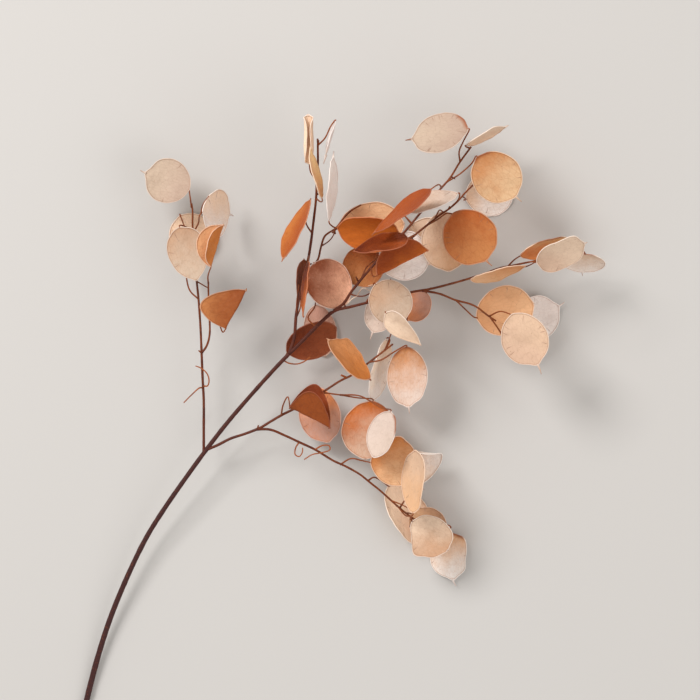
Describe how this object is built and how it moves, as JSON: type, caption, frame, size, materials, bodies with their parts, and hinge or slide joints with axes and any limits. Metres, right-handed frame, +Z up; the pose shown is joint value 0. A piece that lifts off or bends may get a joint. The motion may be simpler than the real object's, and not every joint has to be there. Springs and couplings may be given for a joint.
{
  "type": "honesty seed pod stem",
  "caption": "Cut branching stem of dried honesty with thin papery silver-dollar seed pods, lying flat as a decorative piece.",
  "frame": {"origin": "on the surface that the stem lies on, under the middle of its outline", "axes": "+Z up from the surface; +Y along the length, from the cut end towards the tips; +X across, towards the side that the stem arches to"},
  "size_m": [0.4362, 0.5444, 0.1231],
  "materials": {
    "stem": "smooth dry stem, dark reddish brown",
    "pod_cream": "satin papery membrane, cream",
    "pod_white": "satin papery membrane, near white",
    "pod_peach": "satin papery membrane, peach",
    "pod_tan": "satin papery membrane, tan",
    "pod_orange": "satin papery membrane, orange brown",
    "pod_rust": "satin papery membrane, rust brown",
    "pod_dark": "satin papery membrane, dark brown",
    "pod_pink": "satin papery membrane, pinkish brown"
  },
  "bodies": {
    "root": {"stem": "stem", "left_tip": "pod_cream", "left_front": "pod_tan", "left_back": "pod_cream", "left_side": "pod_cream", "left_fold": "pod_orange", "left_low": "pod_orange", "tall_rolled": "pod_cream", "tall_edge": "pod_white", "tall_front": "pod_peach", "tall_slim": "pod_cream", "tall_left": "pod_orange", "mid_arch": "pod_peach", "mid_orange": "pod_orange", "mid_cigar": "pod_orange", "mid_dark": "pod_dark", "mid_rust": "pod_rust", "mid_white": "pod_white", "mid_brown": "pod_orange", "mid_pink": "pod_pink", "mid_shade": "pod_dark", "mid_strip": "pod_orange", "mid_low_back": "pod_pink", "mid_low_front": "pod_dark", "fork_round": "pod_cream", "fork_white": "pod_white", "fork_leaf": "pod_cream", "fork_side": "pod_pink", "low_slim": "pod_white", "low_round": "pod_cream", "low_tilted": "pod_orange", "low_fold": "pod_rust", "low_pink": "pod_pink", "low_amber": "pod_orange", "low_pearl": "pod_white", "bottom_tan": "pod_orange", "bottom_peach": "pod_peach", "bottom_corner": "pod_cream", "bottom_long": "pod_cream", "bottom_shade": "pod_tan", "bottom_face": "pod_cream", "bottom_tip": "pod_cream", "top_pale": "pod_cream", "top_slim": "pod_tan", "top_tan": "pod_peach", "top_white": "pod_white", "top_long": "pod_cream", "right_orange": "pod_orange", "right_peach": "pod_peach", "right_pale": "pod_white", "right_slim": "pod_tan", "right_edge": "pod_orange", "right_fold": "pod_cream", "right_flat": "pod_cream", "right_amber": "pod_peach", "right_white": "pod_white", "right_front": "pod_cream"}
  },
  "joints": []
}
